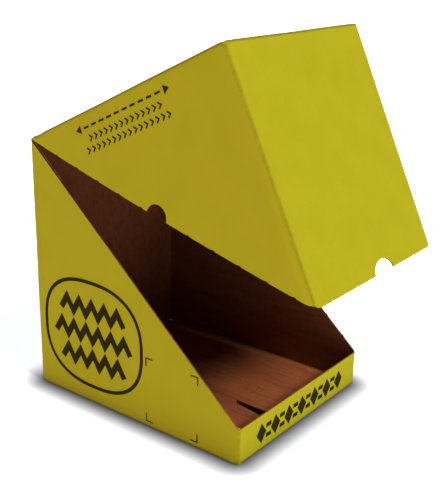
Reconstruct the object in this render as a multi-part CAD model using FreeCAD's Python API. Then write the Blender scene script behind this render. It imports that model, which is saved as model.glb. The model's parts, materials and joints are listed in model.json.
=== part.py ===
import FreeCAD, Part
import math
import os

from FreeCAD import Vector

# Cardboard display stand: one printed sheet of corrugated board folded into a box.
# A perforation runs up both sides and along the front, and the hood above it swings
# back on the crease at the top of the back wall. Below it stays the sloped tray.
# Millimetres. X runs to the right, the front faces minus Y, Z is up from the ground.
# The origin is on the ground, at the middle of the closed box.

# Driving dimensions: box
box_width = 200.0
box_depth = 250.0
box_height = 252.0
lip_height = 36.0
board = 1.5
fold_radius = 3.5
hood_side_bow = 3.7

# Driving dimensions: glue tab inside the left wall, from the back fold forwards
tab_reach = 35.0
tab_end_gap = 4.0
tab_taper = 10.0

# Driving dimensions: flaps that close the top and the bottom
flap_reach = 60.0
corner_relief = 0.6
flap_back_taper = 4.0
tongue_reach = 140.0
tongue_width = 64.0
tongue_taper = 8.0
panel_side_gap = 1.2
panel_front_gap = 1.5
step_start = 6.0
step_length = 9.0

# Driving dimensions: perforation
tear_kerf = 0.5
nick_start = 20.0
nick_pitch = 27.0
nick_base = 3.0
nick_top = 1.6
nick_height = 0.5
tear_clearance = 0.25
lip_nick_pitch = 20.0
lip_nick_centre = 5.0

# Driving dimensions: finger notches in the hood
side_notch_radius = 11.2
front_notch_width = 32.0
front_notch_height = 11.4
front_notch_offset = 10.0

# Driving dimensions: lock slot and tab slit in the floor, seen from the front left corner
slot_right_edge = 89.5
slot_end_width = 4.0
slot_front_width = 14.0
slot_length = 68.0
slit_left_edge = 108.0
slit_width = 17.0
slit_thickness = 1.0
slit_distance = 66.0

# Driving dimension: how far the hood stands open
hood_open_angle = 26.0

# Worked out from the values above. The crease lies halfway round the fold's outer arc,
# and the tear line runs from there to the same height and depth on the front fold.
crease_inset = fold_radius * (1.0 - math.sqrt(0.5))
hinge_y = box_depth / 2.0 - crease_inset
hinge_z = box_height - crease_inset
tear_front_y = -box_depth / 2.0 + crease_inset
tear_rise = hinge_z - lip_height
tear_run = hinge_y - tear_front_y
tear_angle = math.atan2(tear_rise, tear_run)
tear_length = math.hypot(tear_rise, tear_run)
tear_direction = Vector(0.0, math.cos(tear_angle), math.sin(tear_angle))
tear_normal = Vector(0.0, -math.sin(tear_angle), math.cos(tear_angle))
front_wall_length = box_width - 2.0 * fold_radius
side_wall_length = box_depth - 2.0 * fold_radius

# Lengths of cutting tools: right past the whole box, and right through its walls
beyond = box_width + box_depth
through = 4.0 * board


def prism(points, direction):
    """Solid swept along one direction from a closed outline of corner points."""
    outline = Part.makePolygon(points + points[:1])
    return Part.Face(outline).extrude(direction)


def offset_path(points, distance):
    """Points of a path that runs parallel to an open path, on its right side."""
    lines = []
    for start, end in zip(points, points[1:]):
        along = (end - start).normalize()
        side = Vector(along.z, 0.0, -along.x) * distance
        lines.append((start + side, end + side, along))
    shifted = [lines[0][0]]
    for before, after in zip(lines, lines[1:]):
        turn = before[2].x * after[2].z - before[2].z * after[2].x
        gap = after[0] - before[0]
        reach = (gap.x * after[2].z - gap.z * after[2].x) / turn
        shifted.append(before[0] + before[2] * reach)
    shifted.append(lines[-1][1])
    return shifted


def rounded_path(points, radii):
    """Straight runs joined by tangent arcs, with one radius for each inner point."""
    edges = []
    last = points[0]
    for before, corner, after, radius in zip(points, points[1:], points[2:], radii):
        if radius <= 0.0:
            edges.append(Part.makeLine(last, corner))
            last = corner
            continue
        back = (before - corner).normalize()
        ahead = (after - corner).normalize()
        half_angle = back.getAngle(ahead) / 2.0
        tangent = radius / math.tan(half_angle)
        bisector = (back + ahead).normalize()
        middle = corner + bisector * (radius / math.sin(half_angle) - radius)
        arc_start = corner + back * tangent
        arc_end = corner + ahead * tangent
        edges.append(Part.makeLine(last, arc_start))
        edges.append(Part.Arc(arc_start, middle, arc_end).toShape())
        last = arc_end
    edges.append(Part.makeLine(last, points[-1]))
    return edges


def board_section(points, folds):
    """Section of the board along an outer path. A fold is rounded, a step isn't."""
    inner = offset_path(points, board)
    outer_radii = [fold_radius if fold else 0.0 for fold in folds]
    inner_radii = [fold_radius - board if fold else 0.0 for fold in folds]
    edges = rounded_path(points, outer_radii)
    edges.append(Part.makeLine(points[-1], inner[-1]))
    edges += rounded_path(inner[::-1], inner_radii[::-1])
    edges.append(Part.makeLine(inner[0], points[0]))
    return Part.Face(Part.Wire(edges))


def wall_with_flaps(section, length, plan):
    """Wall and its two end flaps. The plan outline trims the flaps."""
    sweep = section.extrude(Vector(0.0, length, 0.0))
    sweep.translate(Vector(0.0, -length / 2.0, 0.0))
    return sweep.common(prism(plan, Vector(0.0, 0.0, box_height)))


def plain_section(bottom_reach):
    """Section of a front or side wall, with a flap folded in at each end."""
    path = [
        Vector(bottom_reach, 0.0, 0.0),
        Vector(0.0, 0.0, 0.0),
        Vector(0.0, 0.0, box_height),
        Vector(flap_reach, 0.0, box_height),
    ]
    return board_section(path, [True, True])


def back_section():
    """Section of the back wall, whose two panels step in under the other flaps."""
    reach = box_depth - board - panel_front_gap
    step_end = step_start + step_length
    path = [
        Vector(reach, 0.0, board),
        Vector(step_end, 0.0, board),
        Vector(step_start, 0.0, 0.0),
        Vector(0.0, 0.0, 0.0),
        Vector(0.0, 0.0, box_height),
        Vector(step_start, 0.0, box_height),
        Vector(step_end, 0.0, box_height - board),
        Vector(reach, 0.0, box_height - board),
    ]
    return board_section(path, [False, False, True, True, False, False])


def side_wall(side):
    """Left wall for side minus one, right wall for side one, each with two flaps."""
    half = side_wall_length / 2.0
    flap_front = -half + corner_relief
    flap_back = half - step_length - step_start
    plan = [
        Vector(0.0, -half, 0.0),
        Vector(board, -half, 0.0),
        Vector(board, flap_front, 0.0),
        Vector(flap_reach, flap_front + flap_reach - board, 0.0),
        Vector(flap_reach, flap_back - flap_back_taper, 0.0),
        Vector(board, flap_back, 0.0),
        Vector(board, half, 0.0),
        Vector(0.0, half, 0.0),
    ]
    wall = wall_with_flaps(plain_section(flap_reach), side_wall_length, plan)
    wall.translate(Vector(-box_width / 2.0, 0.0, 0.0))
    if side < 0:
        return wall
    return wall.mirror(Vector(0.0, 0.0, 0.0), Vector(1.0, 0.0, 0.0))


def front_wall():
    """Front wall. Its flaps meet the side flaps in mitres, the lower one with a tongue."""
    half = front_wall_length / 2.0
    flap_end = half - corner_relief
    mitre_end = flap_end - flap_reach + board
    root = tongue_width / 2.0
    tip = root - tongue_taper
    plan = [
        Vector(0.0, -half, 0.0),
        Vector(board, -half, 0.0),
        Vector(board, -flap_end, 0.0),
        Vector(flap_reach, -mitre_end, 0.0),
        Vector(flap_reach, -root, 0.0),
        Vector(tongue_reach, -tip, 0.0),
        Vector(tongue_reach, tip, 0.0),
        Vector(flap_reach, root, 0.0),
        Vector(flap_reach, mitre_end, 0.0),
        Vector(board, flap_end, 0.0),
        Vector(board, half, 0.0),
        Vector(0.0, half, 0.0),
    ]
    wall = wall_with_flaps(plain_section(tongue_reach), front_wall_length, plan)
    wall.translate(Vector(-box_depth / 2.0, 0.0, 0.0))
    wall.rotate(Vector(0.0, 0.0, 0.0), Vector(0.0, 0.0, 1.0), 90.0)
    return wall


def back_wall():
    """Back wall with the floor panel at its foot and the top panel at its head."""
    half = front_wall_length / 2.0
    panel_half = box_width / 2.0 - board - panel_side_gap
    reach = box_depth
    plan = [
        Vector(0.0, -half, 0.0),
        Vector(board, -half, 0.0),
        Vector(board, -panel_half, 0.0),
        Vector(reach, -panel_half, 0.0),
        Vector(reach, panel_half, 0.0),
        Vector(board, panel_half, 0.0),
        Vector(board, half, 0.0),
        Vector(0.0, half, 0.0),
    ]
    wall = wall_with_flaps(back_section(), front_wall_length, plan)
    wall.translate(Vector(-box_depth / 2.0, 0.0, 0.0))
    wall.rotate(Vector(0.0, 0.0, 0.0), Vector(0.0, 0.0, 1.0), -90.0)
    return wall


def corner_fold(side, end):
    """Rounded upright fold between two walls. It stops short of the end folds."""
    height = box_height - 2.0 * crease_inset
    centre_x = side * (box_width / 2.0 - fold_radius)
    centre_y = end * (box_depth / 2.0 - fold_radius)
    place = Vector(centre_x, centre_y, crease_inset)
    up = Vector(0.0, 0.0, 1.0)
    outer = Part.makeCylinder(fold_radius, height, place, up)
    inner = Part.makeCylinder(fold_radius - board, height, place, up)
    quarter = Part.makeBox(fold_radius, fold_radius, height)
    quarter.translate(place + Vector(min(side, 0) * fold_radius, min(end, 0) * fold_radius, 0.0))
    return outer.cut(inner).common(quarter)


def tab_outline():
    """Everything across the width that lies within the glue tab's outline."""
    x = -beyond / 2.0
    back = box_depth / 2.0 - fold_radius
    front = back - tab_reach
    points = [
        Vector(x, back, tab_end_gap),
        Vector(x, back, box_height - tab_end_gap),
        Vector(x, front, box_height - tab_end_gap - tab_taper),
        Vector(x, front, tab_end_gap + tab_taper),
    ]
    return prism(points, Vector(beyond, 0.0, 0.0))


def glue_tab():
    """Tab glued flat against the inner face of the left wall, where the sheet's ends meet."""
    corner = Vector(-box_width / 2.0 + board, -box_depth / 2.0, 0.0)
    return Part.makeBox(board, box_depth, box_height, corner).common(tab_outline())


def closed_box():
    """The whole folded sheet before the perforation is torn."""
    pieces = [side_wall(-1), side_wall(1), front_wall(), glue_tab()]
    for side in (-1, 1):
        for end in (-1, 1):
            pieces.append(corner_fold(side, end))
    return back_wall().fuse(pieces)


def side_nick(distance, clearance):
    """Torn bridge of board on the sloping tear line, this far from its front end."""
    start = Vector(-beyond / 2.0, tear_front_y, lip_height) + tear_direction * distance
    half_base = nick_base / 2.0 + clearance
    half_top = nick_top / 2.0 + clearance
    rise = tear_normal * (nick_height + clearance)
    drop = tear_normal * board
    points = [
        start - tear_direction * half_base - drop,
        start + tear_direction * half_base - drop,
        start + tear_direction * half_base,
        start + tear_direction * half_top + rise,
        start - tear_direction * half_top + rise,
        start - tear_direction * half_base,
    ]
    return prism(points, Vector(beyond, 0.0, 0.0))


def lip_nick(x, clearance):
    """Torn bridge of board on the tear line along the front."""
    half_base = nick_base / 2.0 + clearance
    half_top = nick_top / 2.0 + clearance
    top = lip_height + nick_height + clearance
    y = -box_depth / 2.0 - board
    points = [
        Vector(x - half_base, y, lip_height - board),
        Vector(x + half_base, y, lip_height - board),
        Vector(x + half_base, y, lip_height),
        Vector(x + half_top, y, top),
        Vector(x - half_top, y, top),
        Vector(x - half_base, y, lip_height),
    ]
    return prism(points, Vector(0.0, through, 0.0))


def nick_places():
    """Distances of the nicks up the slope, kept clear of the crease at its head."""
    count = int((tear_length - nick_start) // nick_pitch)
    return [nick_start + nick_pitch * number for number in range(count)]


def lip_nick_places():
    """X of each nick along the front, evenly spread apart from the finger notch."""
    steps = int((front_wall_length / 2.0 - lip_nick_centre - nick_base) // lip_nick_pitch)
    clear = (front_notch_width + nick_base) / 2.0
    places = [lip_nick_centre + lip_nick_pitch * step for step in range(-steps, steps + 1)]
    return [x for x in places if abs(x - front_notch_offset) > clear]


def above_tear(shift, clearance):
    """Everything above the tear line, moved off it by a shift, without the nicks.

    The front wall is torn level, so a strip is added between its two upright folds.
    """
    slope = tear_rise / tear_run
    low_y = tear_front_y - beyond
    high_y = hinge_y + beyond
    top_z = hinge_z + slope * beyond
    x = -beyond / 2.0
    profile = [
        Vector(x, low_y, lip_height),
        Vector(x, tear_front_y, lip_height),
        Vector(x, high_y, top_z),
        Vector(x, low_y, top_z),
    ]
    region = prism(profile, Vector(beyond, 0.0, 0.0))
    strip_length = front_wall_length - 2.0 * clearance
    strip = Part.makeBox(strip_length, through, top_z - lip_height)
    strip.translate(Vector(-strip_length / 2.0, -box_depth / 2.0 - board, lip_height))
    region = region.fuse(strip)
    nicks = [side_nick(place, clearance) for place in nick_places()]
    nicks += [lip_nick(x_place, clearance) for x_place in lip_nick_places()]
    region = region.cut(nicks)
    region.translate(tear_normal * shift)
    return region


def floor_slot():
    """Wedge cut through both floor layers, from the front fold inwards."""
    front_y = -box_depth / 2.0 + fold_radius
    end_y = -box_depth / 2.0 + slot_length
    right_x = slot_right_edge - box_width / 2.0
    z = -board
    points = [
        Vector(right_x - slot_front_width, front_y, z),
        Vector(right_x, front_y, z),
        Vector(right_x, end_y, z),
        Vector(right_x - slot_end_width, end_y, z),
    ]
    return prism(points, Vector(0.0, 0.0, through))


def floor_slit():
    """Narrow cut for a lock tab, through both floor layers."""
    x = slit_left_edge - box_width / 2.0
    y = -box_depth / 2.0 + slit_distance
    return Part.makeBox(slit_width, slit_thickness, through, Vector(x, y, -board))


def side_notches():
    """Round finger notches halfway up the hood's two sloping edges."""
    middle = Vector(-beyond / 2.0, tear_front_y, lip_height) + tear_direction * (tear_length / 2.0)
    return Part.makeCylinder(side_notch_radius, beyond, middle, Vector(1.0, 0.0, 0.0))


def front_notch():
    """Half oval finger notch in the lower edge of the hood's front."""
    centre = Vector(front_notch_offset, -box_depth / 2.0 - board, lip_height)
    oval = Part.Ellipse(Vector(0.0, 0.0, 0.0), front_notch_width / 2.0, front_notch_height)
    face = Part.Face(Part.Wire(oval.toShape()))
    face.rotate(Vector(0.0, 0.0, 0.0), Vector(1.0, 0.0, 0.0), 90.0)
    face.translate(centre)
    return face.extrude(Vector(0.0, through, 0.0))


def crease_end_slit(side):
    """Thin gap between the hood's fold at the crease and the tip of its side wall."""
    size = 3.0 * fold_radius
    x = side * front_wall_length / 2.0 - tear_clearance
    y = box_depth / 2.0 - fold_radius - tear_clearance
    z = box_height - 2.0 * fold_radius
    return Part.makeBox(2.0 * tear_clearance, size, size, Vector(x, y, z))


def flat_panel(side):
    """The flat of a side wall above the lip, between its folds, two layers of board deep."""
    depth = 2.0 * board
    height = box_height - fold_radius - lip_height
    x = side * box_width / 2.0 - max(side, 0) * depth
    return Part.makeBox(depth, side_wall_length, height, Vector(x, -side_wall_length / 2.0, lip_height))


def bowed_layer(side, depth):
    """The same flat, one board thick, bowed outwards and set this deep in from its print.

    The face is ruled between two straight lines, so it stays straight along the front
    and top folds. Along the tear it stands out most in the middle, by a quarter of what
    its lower back corner does.
    """
    x = side * (box_width / 2.0 - depth)
    half = side_wall_length / 2.0
    top = box_height - fold_radius
    out = side * 4.0 * hood_side_bow
    upper = Part.makeLine(Vector(x, -half, top), Vector(x, half, top))
    lower = Part.makeLine(Vector(x, -half, lip_height), Vector(x + out, half, lip_height))
    return Part.makeRuledSurface(upper, lower).extrude(Vector(-side * board, 0.0, 0.0))


def make_tray(box):
    """Part of the sheet that stays below the tear line."""
    tray = box.cut(above_tear(-tear_kerf / 2.0, 0.0))
    return tray.cut([floor_slot(), floor_slit()])


def make_hood(box):
    """Part of the sheet above the tear line, swung back on the crease."""
    above = above_tear(tear_kerf / 2.0, tear_clearance)
    hood = box.common(above).cut([flat_panel(side) for side in (-1, 1)])
    bowed = [bowed_layer(side, 0.0) for side in (-1, 1)]
    bowed.append(bowed_layer(-1, board).common(tab_outline()))
    hood = hood.fuse([layer.common(above) for layer in bowed])
    slits = [crease_end_slit(side) for side in (-1, 1)]
    hood = hood.cut(slits + [side_notches(), front_notch()])
    hood.rotate(Vector(0.0, hinge_y, hinge_z), Vector(1.0, 0.0, 0.0), -hood_open_angle)
    return hood


def main():
    os.makedirs("parts", exist_ok=True)
    box = closed_box()
    make_tray(box).exportStep("parts/tray.step")
    make_hood(box).exportStep("parts/hood.step")


main()
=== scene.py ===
"""Looks of the cardboard display stand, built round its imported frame.

Metres, Z up. The folded sheet is described in the place it has when the box is closed,
and what belongs to the hood is then swung back on the crease.
"""

import json
import math
import random

import bmesh
import bpy
from mathutils import Matrix, Vector, noise


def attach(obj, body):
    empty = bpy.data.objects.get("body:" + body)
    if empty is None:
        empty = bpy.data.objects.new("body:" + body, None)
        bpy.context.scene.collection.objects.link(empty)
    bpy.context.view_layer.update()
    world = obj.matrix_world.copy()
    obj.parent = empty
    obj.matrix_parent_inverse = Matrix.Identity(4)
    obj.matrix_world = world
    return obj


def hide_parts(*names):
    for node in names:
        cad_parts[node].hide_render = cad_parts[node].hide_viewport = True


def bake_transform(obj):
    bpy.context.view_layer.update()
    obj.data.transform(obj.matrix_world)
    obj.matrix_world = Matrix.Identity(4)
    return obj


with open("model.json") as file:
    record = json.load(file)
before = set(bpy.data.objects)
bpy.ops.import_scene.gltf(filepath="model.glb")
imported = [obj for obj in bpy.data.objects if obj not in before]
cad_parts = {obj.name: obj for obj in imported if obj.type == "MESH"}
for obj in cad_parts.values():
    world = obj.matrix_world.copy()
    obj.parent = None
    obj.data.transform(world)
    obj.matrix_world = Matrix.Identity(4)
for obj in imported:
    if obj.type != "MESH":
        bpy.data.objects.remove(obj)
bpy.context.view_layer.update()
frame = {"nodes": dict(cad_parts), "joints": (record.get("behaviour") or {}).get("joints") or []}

# Millimetres in a metre. The drawings on the walls are given in millimetres.
MM = 1000

# Sizes of the folded sheet
BOX_WIDTH = 0.200
BOX_DEPTH = 0.250
BOX_HEIGHT = 0.252
BOARD = 0.0015
FOLD_RADIUS = 0.0035
LIP_HEIGHT = 0.036
HOOD_BOW = 0.0037
BOW_MARGIN = 0.0005
OPEN_ANGLE = math.radians(26.0)
CREASE = Vector(frame["joints"][0]["pos_m"])
CREASE_HALF = 0.0966

# The tear line, in the plane of the side walls
TEAR_START = Vector((0.0, -CREASE.y, LIP_HEIGHT))
TEAR_END = Vector((0.0, CREASE.y, CREASE.z))
TEAR_LENGTH = (TEAR_END - TEAR_START).length
TEAR_ALONG = (TEAR_END - TEAR_START).normalized()
TEAR_UP = Vector((0.0, -TEAR_ALONG.z, TEAR_ALONG.y))
NICK_START = 0.020
NICK_PITCH = 0.027
LIP_NICKS = (-0.075, -0.055, -0.035, -0.015, 0.045, 0.065, 0.085)

# Fineness of the meshes, and a shift that keeps the cuts off the edges
CELL = 0.0083
CELL_SHIFT = 0.00013

# Bends that count as flat and as sharp, and lengths that count as none
FLAT_ANGLE = 0.002
SHARP_ANGLE = math.radians(35.0)
WELD = 1e-6
NEAR = 1e-7
NOTHING = 1e-9

# How far past the flats a place has to lie to count as in a fold
FOLD_LEAST = 0.002

# Height of the ink above the board, and how sharp a corner of a drawn band may be
INK_LIFT = 0.00008
MITRE_LIMIT = 0.5

# Waviness of the board. It fades out towards the ground and towards the crease.
RIPPLE = 0.00025
RIPPLE_SCALE = 14.0
RIPPLE_OFFSET = Vector((3.1, 7.7, 1.9))
RIPPLE_GROUND = 0.01
RIPPLE_CREASE = 0.025

# Softening of the hood's front folds, most at the torn edge and none at the top
SOFT_DEPTH = 0.0009
SOFT_REACH = 0.010
SOFT_FULL = 0.001
SOFT_LIFT = 0.0026
SOFT_HEIGHT = 0.020
SOFT_FIRST_CUT = 0.0043
SOFT_CUT_PITCH = 0.0012
SOFT_CUTS = 5

# Sorting of the faces: how near the skin, how squarely, how level, how near the ends
SKIN_MISS = 0.0003
FACING = 0.7
LEVEL = 0.8
END_DEPTH = 0.02
PRINT, BARE, CUT, TAB_CUT = range(4)

# Strip at the crease. Round the closed fold it lies on the tray up to 24 degrees and on the
# hood from 66 degrees, and between them it bends. It stands a hair proud of both nodes.
TRAY_ARC = (0, 12, 24)
HOOD_ARC = (66, 78, 90)
STRIP_PROUD = 0.00012
STRIP_FOOT = 0.2455
STRIP_HEAD = 0.1195
STRIP_EASE = 0.0006
STRIP_BENDS = 6
STRIP_STEPS = 24
# How many points each side of the fold's middle the painted fold shade fades over
STRIP_FADE = 5

# Torn tufts in mm: points along one side, half widths, and how far they stand and hang
TUFT_POINTS = 6
WALL_TUFT = (1.3, 1.9)
LIP_TUFT = (1.2, 1.8)
TUFT_RISE = 0.25
TUFT_HANG = (0.5, 1.1)

# Torn liner of the glue tab: where it starts up the tear line, and how long it is
LINER_START = 0.2795
LINER_LENGTH = 0.0445
LINER_STEPS = 60
LINER_DEPTH = 0.0006
LINER_GAP = 0.0001
LINER_RISE = (-0.00002, 0.00012)
LINER_LEAN = (-0.0001, 0.0)

# Scored lines in the tray's floor, which fade out at both ends
SCORE_PLACES = (0.007, 0.027)
SCORE_PROFILE = ((-0.0011, 0.00005), (-0.0003, 0.0003), (0.0003, 0.0003), (0.0011, 0.00005))
SCORE_START = -0.0595
SCORE_LENGTH = 0.0545
SCORE_STEPS = 11
SCORE_PAST = 0.4

# The floor, the painted contact shadow on it round the foot, and the height of the studio's pale
# walls
FLOOR_HALF = 9.0
SHADOW_BAND_INSET = 0.011
SHADOW_BAND_WIDTH = 0.048
SHADOW_BAND_DARKEST = 0.002
RING_LOW = 0.09
RING_HIGH = 0.16

# Closed place to open place
SWING = (
    Matrix.Translation(CREASE)
    @ Matrix.Rotation(-OPEN_ANGLE, 4, "X")
    @ Matrix.Translation(-CREASE)
)
STILL = Matrix.Identity(4)


def outward(point):
    """Distance of a point from the closed box's outer skin, the way out there, and how far the
    point lies past the flats in each direction."""
    centre = Vector((0.0, 0.0, BOX_HEIGHT / 2))
    half = Vector((BOX_WIDTH / 2, BOX_DEPTH / 2, BOX_HEIGHT / 2))
    offset = point - centre
    past = [abs(offset[i]) - half[i] + FOLD_RADIUS for i in range(3)]
    sign = [math.copysign(1.0, offset[i]) for i in range(3)]
    beyond = Vector([max(value, 0.0) for value in past])
    distance = beyond.length + min(max(past), 0.0) - FOLD_RADIUS
    if beyond.length > NOTHING:
        way = Vector([beyond[i] * sign[i] for i in range(3)]).normalized()
    else:
        axis = past.index(max(past))
        way = Vector((0.0, 0.0, 0.0))
        way[axis] = sign[axis]
    return distance, way, beyond


def ripple(point):
    """Slight waviness of the board. The bottom and the crease stay straight."""
    way = outward(point)[1]
    size = RIPPLE * noise.noise(point * RIPPLE_SCALE + RIPPLE_OFFSET)
    reach = math.hypot(point.y - CREASE.y, point.z - CREASE.z)
    calm = min(1.0, point.z / RIPPLE_GROUND) * min(1.0, reach / RIPPLE_CREASE)
    return way * size * min(1.0, 1 + way.z) * calm


def bow(point):
    """How far a side wall of the hood bows outwards at a point of the closed box.

    At the middle of the tear line both shares are about a half, and the bow is HOOD_BOW.
    """
    half = BOX_DEPTH / 2 - FOLD_RADIUS
    top = BOX_HEIGHT - FOLD_RADIUS
    on_side = abs(point.x) > BOX_WIDTH / 2 - 2 * BOARD - BOW_MARGIN
    if not on_side or abs(point.y) > half or point.z > top:
        return Vector((0.0, 0.0, 0.0))
    along = (point.y + half) / (2 * half)
    down = (top - point.z) / (top - LIP_HEIGHT)
    return Vector((math.copysign(4 * HOOD_BOW * along * down, point.x), 0.0, 0.0))


def soften(point):
    """Move that rounds off the hood's front folds near the tear, inwards and upwards."""
    top = BOX_HEIGHT - FOLD_RADIUS
    near = max(BOX_WIDTH / 2 - abs(point.x), point.y + BOX_DEPTH / 2)
    if near > SOFT_REACH or point.z > top:
        return Vector((0.0, 0.0, 0.0))
    share = 1 - max(near - SOFT_FULL, 0.0) / (SOFT_REACH - SOFT_FULL)
    share = share * share * (3 - 2 * share)
    down = (top - point.z) / (top - LIP_HEIGHT)
    way = outward(point)[1]
    way.z = 0.0
    low = max(0.0, 1 - (point.z - LIP_HEIGHT) / SOFT_HEIGHT)
    lift = Vector((0.0, 0.0, SOFT_LIFT * share * share * low))
    return way * (-SOFT_DEPTH * share * down) + lift


def face_kind(centre, normal, bowed):
    """Material of a face: print, bare board, a cut edge or the glue tab's cut edge.

    Along the hood's lower front edge the print is crushed over the cut.
    """
    distance, way = outward(centre)[:2]
    if abs(distance) < SKIN_MISS and normal.dot(way) > FACING:
        return PRINT
    for layer in (1, 2):
        if abs(distance + layer * BOARD) < SKIN_MISS and normal.dot(way) < -FACING:
            return BARE
    if centre.z < END_DEPTH and abs(normal.z) > LEVEL:
        return PRINT if normal.z < 0 else BARE
    if centre.z > BOX_HEIGHT - END_DEPTH and abs(normal.z) > LEVEL:
        return PRINT if normal.z > 0 else BARE
    if bowed and centre.y < -BOX_DEPTH / 2 + 2 * BOARD:
        return PRINT
    in_tab = -BOX_WIDTH / 2 + BOARD < centre.x < -BOX_WIDTH / 2 + 2 * BOARD
    if in_tab and centre.z > END_DEPTH:
        return TAB_CUT
    return CUT


def slice_mesh(bm, axis, places):
    """Cuts all faces with planes across one axis."""
    for distance in places:
        place = Vector((0.0, 0.0, 0.0))
        place[axis] = distance
        normal = Vector((0.0, 0.0, 0.0))
        normal[axis] = 1.0
        geometry = bm.verts[:] + bm.edges[:] + bm.faces[:]
        bmesh.ops.bisect_plane(bm, geom=geometry, dist=NEAR, plane_co=place, plane_no=normal)


def even_places(low, high):
    """Evenly spaced places strictly between two ends."""
    count = round((high - low) / CELL)
    return [low + (high - low) * number / count + CELL_SHIFT for number in range(1, count)]


def soft_places(edge, way):
    """Closely spaced places beside a front fold, where the hood is softened."""
    return [edge + way * (SOFT_FIRST_CUT + SOFT_CUT_PITCH * number) for number in range(SOFT_CUTS)]


def finish_mesh(bm, name, materials):
    """Object from a bmesh, smooth over the folds and sharp at the cuts."""
    mesh = bpy.data.meshes.new(name)
    bm.to_mesh(mesh)
    bm.free()
    for material in materials:
        mesh.materials.append(material)
    for polygon in mesh.polygons:
        polygon.use_smooth = True
    mesh.set_sharp_from_angle(angle=SHARP_ANGLE)
    piece = bpy.data.objects.new(name, mesh)
    bpy.context.scene.collection.objects.link(piece)
    weighted = piece.modifiers.new("weighted_normals", "WEIGHTED_NORMAL")
    weighted.keep_sharp = True
    weighted.weight = 100
    return piece


def folded_board(node, name, swing, bowed, materials):
    """Finely divided copy of a node, its faces sorted into print, bare board and cuts.

    The fold layer is one in the middle of a fold and none on the flats beside it. It steers the
    painted shade along the folds.
    """
    bm = bmesh.new()
    bm.from_mesh(frame["nodes"][node].data)
    bm.transform(swing.inverted())
    bmesh.ops.remove_doubles(bm, verts=bm.verts, dist=WELD)
    if bowed:
        for vert in bm.verts:
            vert.co -= bow(vert.co)
        bm.normal_update()
    bmesh.ops.dissolve_limit(
        bm, angle_limit=FLAT_ANGLE, verts=bm.verts, edges=bm.edges, use_dissolve_boundaries=False
    )
    slice_mesh(bm, 0, even_places(-BOX_WIDTH / 2, BOX_WIDTH / 2))
    slice_mesh(bm, 1, even_places(-BOX_DEPTH / 2, BOX_DEPTH / 2))
    slice_mesh(bm, 2, even_places(0.0, BOX_HEIGHT))
    slice_mesh(bm, 0, [-BOX_WIDTH / 2 + BOARD])
    if bowed:
        slice_mesh(bm, 0, soft_places(-BOX_WIDTH / 2, 1) + soft_places(BOX_WIDTH / 2, -1))
        slice_mesh(bm, 1, soft_places(-BOX_DEPTH / 2, 1))
    sheet = bm.verts.layers.float_vector.new("sheet")
    fold = bm.verts.layers.float.new("fold")
    for face in bm.faces:
        face.material_index = face_kind(face.calc_center_median(), face.normal, bowed)
    moves = {}
    for vert in bm.verts:
        vert[sheet] = vert.co
        beyond = sorted(outward(vert.co)[2])
        length = math.hypot(beyond[1], beyond[2])
        in_fold = length > FOLD_LEAST
        vert[fold] = 2 * beyond[1] * beyond[2] / length**2 if in_fold else 0.0
        moves[vert] = ripple(vert.co)
        if bowed:
            moves[vert] += bow(vert.co) + soften(vert.co)
    for vert, move in moves.items():
        vert.co += move
    bm.transform(swing)
    return finish_mesh(bm, name, materials)


def wall_point(wall, across, up, lift, bowed):
    """Point of a wall's printed face in the closed box. Across runs rightwards, from outside."""
    if wall == "left":
        point = Vector((-BOX_WIDTH / 2, BOX_DEPTH / 2 - across, up))
    elif wall == "right":
        point = Vector((BOX_WIDTH / 2, -BOX_DEPTH / 2 + across, up))
    else:
        point = Vector((-BOX_WIDTH / 2 + across, -BOX_DEPTH / 2, up))
    moved = point + outward(point)[1] * lift + ripple(point)
    return moved + bow(point) if bowed else moved


class Overlay:
    """Thin layer of flat shapes that follows the printed face of the sheet. Sizes in mm."""

    def __init__(self, name, material, bowed):
        self.name = name
        self.material = material
        self.bowed = bowed
        self.bm = bmesh.new()
        self.sheet = self.bm.verts.layers.float_vector.new("sheet")

    def corner(self, wall, place, lift):
        """New vertex at a place on a wall."""
        point = wall_point(wall, place[0] / MM, place[1] / MM, lift, self.bowed)
        vert = self.bm.verts.new(point)
        vert[self.sheet] = point
        return vert

    def shape(self, wall, outline, lift=INK_LIFT):
        """Filled outline, a small one, so that it can stay flat."""
        verts = [self.corner(wall, place, lift) for place in outline]
        face = self.bm.faces.new(verts)
        face.normal_update()
        if face.normal.dot(outward(face.calc_center_median())[1]) < 0:
            face.normal_flip()

    def stroke(self, wall, path, widths, closed=False, lift=INK_LIFT):
        """Band along a path, as short quads. Widths holds one width for each point."""
        rims = []
        count = len(path)
        for number, place in enumerate(path):
            before = path[number - 1] if closed or number > 0 else place
            after = path[(number + 1) % count] if closed or number < count - 1 else place
            first = Vector((place[0] - before[0], place[1] - before[1]))
            second = Vector((after[0] - place[0], after[1] - place[1]))
            way = Vector((0.0, 0.0))
            if first.length > NOTHING:
                way += first.normalized()
            if second.length > NOTHING:
                way += second.normalized()
            way.normalize()
            across = Vector((-way.y, way.x))
            stretch = 1.0
            if min(first.length, second.length) > NOTHING:
                stretch = 1.0 / max(MITRE_LIMIT, abs(first.normalized().dot(way)))
            half = across * widths[number] / 2 * stretch
            left = (place[0] + half.x, place[1] + half.y)
            right = (place[0] - half.x, place[1] - half.y)
            rims.append((left, right))
        pairs = list(zip(rims, rims[1:]))
        if closed:
            pairs.append((rims[-1], rims[0]))
        for (left_a, right_a), (left_b, right_b) in pairs:
            self.shape(wall, [left_a, right_a, right_b, left_b], lift)

    def bar(self, wall, start, end, width, step=6.0):
        """Straight band in short lengths."""
        along = (end[0] - start[0], end[1] - start[1])
        count = max(1, round(math.hypot(*along) / step))
        path = [
            (start[0] + along[0] * i / count, start[1] + along[1] * i / count)
            for i in range(count + 1)
        ]
        self.stroke(wall, path, [width] * len(path))

    def done(self, swing, body):
        """Turns the layer into a piece that rides on a body."""
        bmesh.ops.remove_doubles(self.bm, verts=self.bm.verts, dist=NEAR)
        self.bm.transform(swing)
        piece = finish_mesh(self.bm, self.name, [self.material])
        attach(piece, body)


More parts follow.
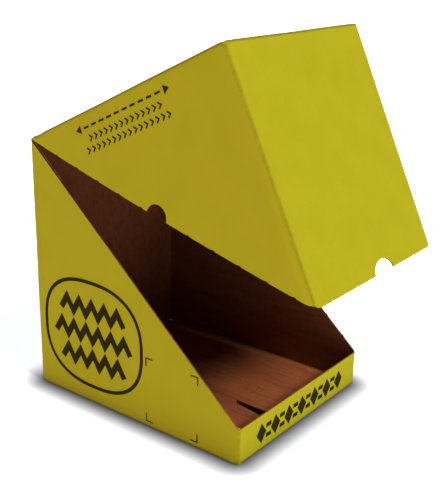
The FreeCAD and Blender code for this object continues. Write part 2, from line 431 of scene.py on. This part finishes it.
class Nodes:
    """Small helper that adds shader nodes and links them."""

    def __init__(self, name):
        self.material = bpy.data.materials.new(name)
        self.material.use_nodes = True
        self.tree = self.material.node_tree
        self.shader = self.tree.nodes["Principled BSDF"]

    def add(self, kind, settings=None, inputs=None):
        """New node. An input is either a value or another node's output."""
        node = self.tree.nodes.new(kind)
        for key, value in (settings or {}).items():
            setattr(node, key, value)
        for key, value in (inputs or {}).items():
            if isinstance(value, bpy.types.NodeSocket):
                self.tree.links.new(value, node.inputs[key])
            else:
                node.inputs[key].default_value = value
        return node

    def vector(self, operation, first, second=(0.0, 0.0, 0.0)):
        """Operation on one or two vectors."""
        return self.add("ShaderNodeVectorMath", {"operation": operation}, {0: first, 1: second})

    def place(self, scale):
        """Sheet coordinates, stretched."""
        sheet = self.add("ShaderNodeAttribute", {"attribute_name": "sheet"})
        return self.vector("MULTIPLY", sheet.outputs["Vector"], scale).outputs["Vector"]

    def noise(self, scale, size=1.0, detail=3.0, roughness=0.55):
        """Noise in sheet coordinates, so that it doesn't swim when the sheet bends."""
        node = self.add(
            "ShaderNodeTexNoise",
            {},
            {"Vector": self.place(scale), "Scale": size, "Detail": detail, "Roughness": roughness},
        )
        return node.outputs["Fac"]

    def ramp(self, value, stops):
        """Colour from a value, by stops of position and colour."""
        node = self.add("ShaderNodeValToRGB", {}, {"Fac": value})
        elements = node.color_ramp.elements
        while len(elements) < len(stops):
            elements.new(0.5)
        for element, (position, colour) in zip(elements, stops):
            element.position = position
            element.color = (*colour, 1.0)
        return node.outputs["Color"]

    def mix(self, amount, first, second, blend="MIX"):
        """Two colours mixed. The node takes colours at its inputs 6 and 7."""
        node = self.add("ShaderNodeMix", {"data_type": "RGBA", "blend_type": blend})
        for key, value in ((0, amount), (6, first), (7, second)):
            if isinstance(value, bpy.types.NodeSocket):
                self.tree.links.new(value, node.inputs[key])
            elif key == 0:
                node.inputs[key].default_value = value
            else:
                node.inputs[key].default_value = (*value, 1.0)
        return node.outputs[2]

    def math(self, operation, first, second=0.0):
        """Operation on two numbers."""
        node = self.add("ShaderNodeMath", {"operation": operation}, {0: first, 1: second})
        return node.outputs[0]

    def rough(self, value, low, high):
        """Roughness that follows a value."""
        node = self.add("ShaderNodeMapRange", {}, {"Value": value, "To Min": low, "To Max": high})
        self.link(node.outputs[0], "Roughness")

    def bump(self, height, strength, distance):
        """Fine relief."""
        node = self.add(
            "ShaderNodeBump", {}, {"Height": height, "Strength": strength, "Distance": distance}
        )
        self.tree.links.new(node.outputs["Normal"], self.shader.inputs["Normal"])

    def link(self, output, name):
        """Output linked to an input of the shader."""
        self.tree.links.new(output, self.shader.inputs[name])

    def set(self, name, value):
        """Uniform value of an input of the shader."""
        self.shader.inputs[name].default_value = value


def printed_material(name, light, dark, painted_fold_shade):
    """Matte ink on board: soft mottling, fine grain, and painted shade along the folds, broken
    into patches.
    """
    n = Nodes(name)
    mottle = n.noise((1.0, 1.0, 1.0), 34.0, 5.0)
    grain = n.noise((1.0, 1.0, 1.0), 1500.0, 2.0)
    colour = n.ramp(mottle, [(0.32, dark), (0.68, light)])
    grained = n.ramp(grain, [(0.25, (0.9, 0.9, 0.9)), (0.75, (1.0, 1.0, 1.0))])
    colour = n.mix(1.0, colour, grained, "MULTIPLY")
    fold = n.add("ShaderNodeAttribute", {"attribute_name": "fold"}).outputs["Fac"]
    fold_shade_breakup = n.noise((1.0, 1.0, 1.0), 260.0, 5.0, 0.7)
    spread = {"Value": fold_shade_breakup, "From Min": 0.38, "From Max": 0.62, "To Min": 0.6}
    fold_shade_patch = n.add("ShaderNodeMapRange", {}, spread).outputs[0]
    amount = n.math("MULTIPLY", n.math("POWER", fold, 1.3), fold_shade_patch)
    # Painted shade: the print darkens where the fold layer is high, broken into patches.
    n.link(n.mix(n.math("MULTIPLY", amount, 0.85), colour, painted_fold_shade), "Base Color")
    n.rough(grain, 0.7, 0.82)
    n.set("Specular IOR Level", 0.1)
    n.bump(n.noise((1.0, 1.0, 0.35), 700.0, 4.0), 0.25, 0.0002)
    return n.material


def kraft_material(name, light, dark):
    """Bare brown board, with short fibres, long streaks and faint cloudy patches."""
    n = Nodes(name)
    plain = (1.0, 1.0, 1.0)
    clouds = n.noise((1.0, 1.0, 1.0), 18.0, 5.0, 0.6)
    fibres = n.noise((1.0, 1.0, 0.25), 900.0, 5.0, 0.65)
    long_fibres = n.noise((1.0, 0.12, 0.5), 300.0, 5.0, 0.6)
    colour = n.ramp(clouds, [(0.3, dark), (0.7, light)])
    thread_stops = [(0.3, (0.78, 0.78, 0.78)), (0.5, plain), (0.72, (1.12, 1.1, 1.06))]
    streak_stops = [(0.34, (0.82, 0.79, 0.77)), (0.5, plain), (0.66, (1.1, 1.08, 1.05))]
    for value, stops in ((fibres, thread_stops), (long_fibres, streak_stops)):
        colour = n.mix(1.0, colour, n.ramp(value, stops), "MULTIPLY")
    n.link(colour, "Base Color")
    n.rough(fibres, 0.72, 0.9)
    n.set("Specular IOR Level", 0.2)
    n.bump(fibres, 0.3, 0.0003)
    return n.material


def edge_material(name, light, dark):
    """Cut or torn edge of the board: coarse, fuzzy fibres."""
    n = Nodes(name)
    coarse = n.noise((1.0, 1.0, 1.0), 420.0, 6.0, 0.7)
    n.link(n.ramp(coarse, [(0.3, dark), (0.68, light)]), "Base Color")
    n.rough(coarse, 0.8, 0.95)
    n.set("Specular IOR Level", 0.15)
    n.bump(coarse, 0.7, 0.0006)
    return n.material


def ink_material(name, light, dark):
    """Dark ink, thinner in small specks."""
    n = Nodes(name)
    specks = n.noise((1.0, 1.0, 1.0), 800.0, 3.0, 0.6)
    n.link(n.ramp(specks, [(0.25, light), (0.55, dark)]), "Base Color")
    n.rough(specks, 0.45, 0.6)
    n.set("Specular IOR Level", 0.03)
    n.bump(specks, 0.2, 0.0001)
    return n.material


def superellipse(centre, half_width, half_height, power, count):
    """Points round a softly squared oval."""
    points = []
    for number in range(count):
        angle = 2 * math.pi * number / count
        x = math.copysign(abs(math.cos(angle)) ** (2 / power), math.cos(angle)) * half_width
        y = math.copysign(abs(math.sin(angle)) ** (2 / power), math.sin(angle)) * half_height
        points.append((centre[0] + x, centre[1] + y))
    return points


def zigzag(layer, start, end, height):
    """Band of even zigzags from left to right, on the left wall."""
    pitch, rise, width = 16.4, 6.5, 6.5
    count = round((end - start) / pitch * 2)
    path = []
    for number in range(count + 1):
        x = start + (end - start) * number / count
        path.append((x, height + (rise if number % 2 else -rise)))
    layer.stroke("left", path, [width] * len(path))


def badge(layer):
    """Softly squared oval outline with three zigzag bands in it, on the left wall of the tray."""
    rim = superellipse((75.0, 72.0), half_width=63.0, half_height=54.0, power=2.5, count=96)
    rim_width = 3.6
    layer.stroke("left", rim, [rim_width] * len(rim), closed=True)
    for start, end, height in ((34.0, 116.0, 98.0), (26.0, 124.0, 72.0), (34.0, 116.0, 46.0)):
        zigzag(layer, start, end, height)


def corner_marks(layer):
    """Four thin right angles that mark out a place for a label."""
    arm, width = 8.0, 1.2
    half = width / 2
    for x, way_x in ((143.5, 1), (204.0, -1)):
        for y, way_y in ((6.5, 1), (71.0, -1)):
            layer.bar("left", (x - half * way_x, y), (x + arm * way_x, y), width)
            layer.bar("left", (x, y + half * way_y), (x, y + arm * way_y), width)


def lip_band(layer):
    """Row of rhombuses along the lip, with two short bars between each two."""
    count, first, pitch, middle = 7, 34.0, 22.0, 17.5
    half_width, half_height = 7.4, 10.0
    bar_start, bar_end, bar_width = 7.0, 15.0, 4.2
    for number in range(count):
        x = first + pitch * number
        layer.shape(
            "front",
            [
                (x - half_width, middle),
                (x, middle - half_height),
                (x + half_width, middle),
                (x, middle + half_height),
            ],
        )
        if number < count - 1:
            for height in (22.6, 12.4):
                layer.bar("front", (x + bar_start, height), (x + bar_end, height), bar_width)


def tear_marks(layer):
    """Dashed line between two arrowheads, over two rows of small chevrons, on the hood."""
    dashes, first, pitch, length, width = 10, 74.5, 10.2, 6.6, 1.9
    line = 238.0
    for number in range(dashes):
        start = first + pitch * number
        layer.bar("left", (start, line), (start + length, line), width)
    head_half = 3.8
    for tip, base, way in ((64.0, 70.5, -1), (183.5, 177.0, 1)):
        side = head_half * way
        layer.shape("left", [(tip, line), (base, line + side), (base, line - side)])
    chevron_pitch, half_height, reach, chevron_width = 6.8, 2.8, 3.2, 1.5
    for height, first, count in ((228.0, 78.0, 14), (218.2, 71.0, 16)):
        for number in range(count):
            x = first + chevron_pitch * number
            path = [(x, height + half_height), (x + reach, height), (x, height - half_height)]
            layer.stroke("left", path, [chevron_width] * len(path))


def tear_place(wall, distance, above):
    """Place on a side wall, in mm, at a distance up the tear line and above it."""
    point = TEAR_START + TEAR_ALONG * distance + TEAR_UP * above
    across = BOX_DEPTH / 2 - point.y if wall == "left" else point.y + BOX_DEPTH / 2
    return (across * MM, point.z * MM)


def nick_distances():
    """How far up the tear line each nick is."""
    count = int((TEAR_LENGTH - NICK_START) // NICK_PITCH)
    return [NICK_START + NICK_PITCH * number for number in range(count)]


def tuft(draw, half, rise):
    """Outline of a torn tuft, in steps along and up from its middle, ragged below."""
    steps = [half * (2 * number / (TUFT_POINTS - 1) - 1) for number in range(TUFT_POINTS)]
    above = [(step, rise) for step in steps]
    below = [(-step, -draw.uniform(*TUFT_HANG)) for step in steps]
    return above + below


def fringe(layer, draw):
    """Bare fibres along the tray's torn edges, a tuft at each nick."""
    for wall in ("left", "right"):
        for distance in nick_distances():
            outline = tuft(draw, draw.uniform(*WALL_TUFT), TUFT_RISE)
            places = [tear_place(wall, distance + along / MM, up / MM) for along, up in outline]
            layer.shape(wall, places)
    for x in LIP_NICKS:
        outline = tuft(draw, draw.uniform(*LIP_TUFT), 0.0)
        middle = (x + BOX_WIDTH / 2) * MM
        layer.shape("front", [(middle + along, LIP_HEIGHT * MM + up) for along, up in outline])


def liner_fringe(material, draw):
    """Torn liner of the glue tab, which stands a hair above the tray's left edge."""
    bm = bmesh.new()
    sheet = bm.verts.layers.float_vector.new("sheet")
    x = -BOX_WIDTH / 2 + BOARD + LINER_GAP
    last = None
    for number in range(LINER_STEPS + 1):
        distance = LINER_START + LINER_LENGTH * number / LINER_STEPS
        place = TEAR_START + TEAR_ALONG * distance
        rise = draw.uniform(*LINER_RISE)
        lean = draw.uniform(*LINER_LEAN)
        pair = []
        for up, across in ((-LINER_DEPTH, x), (rise, x + lean)):
            point = place + TEAR_UP * up + Vector((across, 0.0, 0.0))
            vert = bm.verts.new(point)
            vert[sheet] = point
            pair.append(vert)
        if last:
            bm.faces.new((last[0], last[1], pair[1], pair[0]))
        last = pair
    # Its colour is the tab edge's, which is partly painted light.
    piece = finish_mesh(bm, "liner_fringe", [material])
    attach(piece, "tray")


def floor_creases(material):
    """Two faint scored lines in the tray's floor, behind the slit."""
    bm = bmesh.new()
    sheet = bm.verts.layers.float_vector.new("sheet")
    for x in SCORE_PLACES:
        rows = []
        for number in range(SCORE_STEPS + 1):
            y = SCORE_START + SCORE_LENGTH * number / SCORE_STEPS
            fade = math.sin(math.pi * (number + SCORE_PAST) / (SCORE_STEPS + 2 * SCORE_PAST))
            row = []
            for across, up in SCORE_PROFILE:
                vert = bm.verts.new((x + across, y, 2 * BOARD + up * fade))
                vert[sheet] = vert.co
                row.append(vert)
            rows.append(row)
        for first, second in zip(rows, rows[1:]):
            for i in range(len(SCORE_PROFILE) - 1):
                bm.faces.new((first[i], first[i + 1], second[i + 1], second[i]))
    piece = finish_mesh(bm, "floor_creases", [material])
    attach(piece, "tray")


def bezier(start, start_way, end, end_way, count):
    """Points strictly between two ends of a cubic curve."""
    reach = (end - start).length / 3
    one = start + start_way * reach
    two = end - end_way * reach
    points = []
    for number in range(1, count):
        t = number / count
        s = 1 - t
        points.append(start * s**3 + one * 3 * s * s * t + two * 3 * s * t * t + end * t**3)
    return points


def on_arc(angle, radius):
    """Point of the closed box's fold at the crease, from the back wall at 0 to the top at 90."""
    centre = Vector((0.0, BOX_DEPTH / 2 - FOLD_RADIUS, BOX_HEIGHT - FOLD_RADIUS))
    turn = math.radians(angle)
    return centre + Vector((0.0, math.cos(turn), math.sin(turn))) * radius


def way_on(angle):
    """Direction along that fold, from the back wall towards the top."""
    turn = math.radians(angle)
    return Vector((0.0, -math.sin(turn), math.cos(turn)))


def crease_paths(outer, inner):
    """Outside and inside of the bent board at the crease, from the back wall over to the top."""
    turn = SWING.to_3x3()
    back = BOX_DEPTH / 2 - FOLD_RADIUS
    top = BOX_HEIGHT - FOLD_RADIUS
    first, last = on_arc(24, outer), SWING @ on_arc(66, outer)
    outside = [Vector((0.0, back + outer, STRIP_FOOT))]
    outside += [on_arc(angle, outer) for angle in TRAY_ARC]
    outside += bezier(first, way_on(24), last, turn @ way_on(66), STRIP_BENDS)
    outside += [SWING @ on_arc(angle, outer) for angle in HOOD_ARC]
    outside.append(SWING @ Vector((0.0, STRIP_HEAD, top + outer)))
    low = on_arc(0, inner) - Vector((0.0, 0.0, STRIP_EASE))
    high = SWING @ (on_arc(90, inner) - Vector((0.0, STRIP_EASE, 0.0)))
    inside = [Vector((0.0, back + inner, STRIP_FOOT)), low]
    inside += bezier(low, way_on(0), high, turn @ way_on(90), STRIP_BENDS)
    inside += [high, SWING @ Vector((0.0, STRIP_HEAD, top + inner))]
    return outside, inside


def crease_strip(materials):
    """The board's own fold at the crease, bent to join the tray and the hood at the hood's open
    angle.
    """
    outer = FOLD_RADIUS + STRIP_PROUD
    inner = FOLD_RADIUS - BOARD - STRIP_PROUD
    outside, inside = crease_paths(outer, inner)
    ring = outside + inside[::-1]
    count = len(outside)
    middle = (count - 1) / 2
    bm = bmesh.new()
    sheet = bm.verts.layers.float_vector.new("sheet")
    fold = bm.verts.layers.float.new("fold")
    slices = []
    for number in range(STRIP_STEPS + 1):
        x = -CREASE_HALF + 2 * CREASE_HALF * number / STRIP_STEPS
        row = []
        for place, point in enumerate(ring):
            vert = bm.verts.new((x, point.y, point.z))
            vert[sheet] = vert.co
            # The fold layer places the painted fold shade: most at the fold's middle, fading out
            # each side.
            vert[fold] = max(0.0, 1 - abs(place - middle) / STRIP_FADE) if place < count else 0.0
            row.append(vert)
        slices.append(row)
    size = len(ring)
    for first, second in zip(slices, slices[1:]):
        for i in range(size):
            j = (i + 1) % size
            face = bm.faces.new((first[i], first[j], second[j], second[i]))
            if i < count - 1:
                face.material_index = PRINT
            elif count <= i < size - 1:
                face.material_index = BARE
            else:
                face.material_index = CUT
    for row in (slices[0], slices[-1]):
        bm.faces.new(row).material_index = CUT
    bmesh.ops.recalc_face_normals(bm, faces=bm.faces)
    piece = finish_mesh(bm, "crease", materials)
    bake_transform(piece)


def floor_material():
    """White floor that glows, with a painted contact shadow: a narrow dark band round the stand's
    foot, darkest under the foot.
    """
    n = Nodes("floor_white_painted_shadow")
    place = n.add("ShaderNodeTexCoord").outputs["Object"]
    folded = n.vector("ABSOLUTE", place).outputs[0]
    inset = (BOX_WIDTH / 2 - SHADOW_BAND_INSET, BOX_DEPTH / 2 - SHADOW_BAND_INSET, 0.0)
    past = n.vector("SUBTRACT", folded, inset).outputs[0]
    outside = n.vector("MAXIMUM", past).outputs[0]
    flat = n.vector("MULTIPLY", outside, (1.0, 1.0, 0.0)).outputs[0]
    length = n.vector("LENGTH", flat).outputs["Value"]
    band = {"From Min": 0.0, "From Max": SHADOW_BAND_WIDTH, "To Min": SHADOW_BAND_DARKEST, "To Max": 1.0}
    smooth = {"interpolation_type": "SMOOTHSTEP"}
    shade = n.add("ShaderNodeMapRange", smooth, {"Value": length, **band}).outputs[0]
    # Painted contact shadow: the floor's base colour and glow both darken round the foot.
    n.link(n.math("MULTIPLY", shade, 0.5), "Base Color")
    n.link(shade, "Emission Strength")
    # Faint blue glow, which tints the painted shadow.
    n.set("Emission Color", (0.92, 0.95, 1.0, 1.0))
    n.set("Roughness", 0.9)
    n.set("Specular IOR Level", 0.05)
    return n.material


def add_floor():
    """Pale floor, large enough to fill the view."""
    bm = bmesh.new()
    bmesh.ops.create_grid(bm, x_segments=2, y_segments=2, size=FLOOR_HALF)
    mesh = bpy.data.meshes.new("floor")
    bm.to_mesh(mesh)
    bm.free()
    mesh.materials.append(floor_material())
    floor = bpy.data.objects.new("floor", mesh)
    bpy.context.scene.collection.objects.link(floor)


def add_sun(name, source, strength, angle, colour):
    """Soft light from a direction, the same all over the floor."""
    data = bpy.data.lights.new(name, "SUN")
    data.energy = strength
    data.color = colour
    data.angle = math.radians(angle)
    lamp = bpy.data.objects.new(name, data)
    lamp.rotation_euler = Vector(source).to_track_quat("Z", "Y").to_euler()
    bpy.context.scene.collection.objects.link(lamp)


def add_world(low, high):
    """Pale walls round the studio up to a low height, dim above."""
    world = bpy.data.worlds.new("studio")
    world.use_nodes = True
    tree = world.node_tree
    background = tree.nodes["Background"]
    background.inputs["Color"].default_value = (1.0, 1.0, 1.0, 1.0)
    place = tree.nodes.new("ShaderNodeTexCoord")
    split = tree.nodes.new("ShaderNodeSeparateXYZ")
    fade = tree.nodes.new("ShaderNodeMapRange")
    values = {"From Min": RING_LOW, "From Max": RING_HIGH, "To Min": low, "To Max": high}
    for name, value in values.items():
        fade.inputs[name].default_value = value
    tree.links.new(place.outputs["Generated"], split.inputs["Vector"])
    tree.links.new(split.outputs["Z"], fade.inputs["Value"])
    tree.links.new(fade.outputs["Result"], background.inputs["Strength"])
    bpy.context.scene.world = world


def add_camera():
    """Camera of the photograph, solved from the corners of the box."""
    place = Vector((-0.64679, -0.51753, 0.43964))
    yaw = math.radians(52.927)
    pitch = math.radians(-19.648)
    roll = math.radians(-1.307)
    focal_pixels = 902.2
    image_height = 500.0
    sensor = 36.0
    forward = Vector(
        (math.sin(yaw) * math.cos(pitch), math.cos(yaw) * math.cos(pitch), math.sin(pitch))
    )
    level = Vector((math.cos(yaw), -math.sin(yaw), 0.0))
    down = forward.cross(level)
    right = level * math.cos(roll) + down * math.sin(roll)
    lower = down * math.cos(roll) - level * math.sin(roll)
    turn = Matrix((right, -lower, -forward)).transposed()
    data = bpy.data.cameras.new("photo_camera")
    data.sensor_fit = "AUTO"
    data.sensor_width = sensor
    data.lens = focal_pixels * sensor / image_height
    camera = bpy.data.objects.new("photo_camera", data)
    camera.matrix_world = Matrix.Translation(place) @ turn.to_4x4()
    bpy.context.scene.collection.objects.link(camera)
    bpy.context.scene.camera = camera


def main():
    """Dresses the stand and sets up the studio."""
    draw = random.Random(7)
    printed = printed_material(
        "printed_yellow",
        light=(0.355, 0.325, 0.0127),
        dark=(0.34, 0.31, 0.0118),
        # Darker colour for the painted shade along the folds
        painted_fold_shade=(0.205, 0.178, 0.0072),
    )
    kraft = kraft_material("bare_kraft", (0.335, 0.126, 0.048), (0.265, 0.096, 0.036))
    edge = edge_material("cut_edge", (0.30, 0.14, 0.035), (0.15, 0.066, 0.018))
    # Painted light: the glue tab's cut edge and its torn liner are tan, made far paler than the
    # other cut edges to stand in for light that the lamps don't bring there.
    tab_edge_painted_light = edge_material("tab_edge_painted_light", (0.72, 0.42, 0.16), (0.5, 0.27, 0.1))
    fibres = edge_material("torn_fibres", (0.36, 0.20, 0.06), (0.15, 0.065, 0.022))
    ink = ink_material("dark_ink", (0.042, 0.034, 0.003), (0.03, 0.025, 0.002))

    for node, swing, bowed in (("tray", STILL, False), ("hood", SWING, True)):
        piece = folded_board(node, node + "_sheet", swing, bowed, [printed, kraft, edge, tab_edge_painted_light])
        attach(piece, node)
        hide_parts(node)

    tray_ink = Overlay("tray_print", ink, False)
    badge(tray_ink)
    corner_marks(tray_ink)
    lip_band(tray_ink)
    tray_ink.done(STILL, "tray")
    hood_ink = Overlay("hood_print", ink, True)
    tear_marks(hood_ink)
    hood_ink.done(SWING, "hood")

    tufts = Overlay("tray_torn_fringe", fibres, False)
    fringe(tufts, draw)
    tufts.done(STILL, "tray")

    liner_fringe(tab_edge_painted_light, draw)
    floor_creases(kraft)
    crease_strip([printed, kraft, edge])

    add_floor()
    pale, rose = (1.0, 0.97, 1.0), (1.0, 0.73, 0.83)
    add_sun("key_low", (-0.02, -0.73, 0.68), strength=2.8, angle=12.0, colour=pale)
    add_sun("key_high", (-0.02, -0.62, 0.79), strength=1.4, angle=14.0, colour=pale)
    add_sun("left_light", (-1.0, 0.35, 0.08), strength=1.8, angle=12.0, colour=rose)
    add_world(low=1.0, high=0.03)
    bpy.context.scene.view_settings.view_transform = "Standard"
    bpy.context.scene.view_settings.gamma = 0.8
    add_camera()


main()
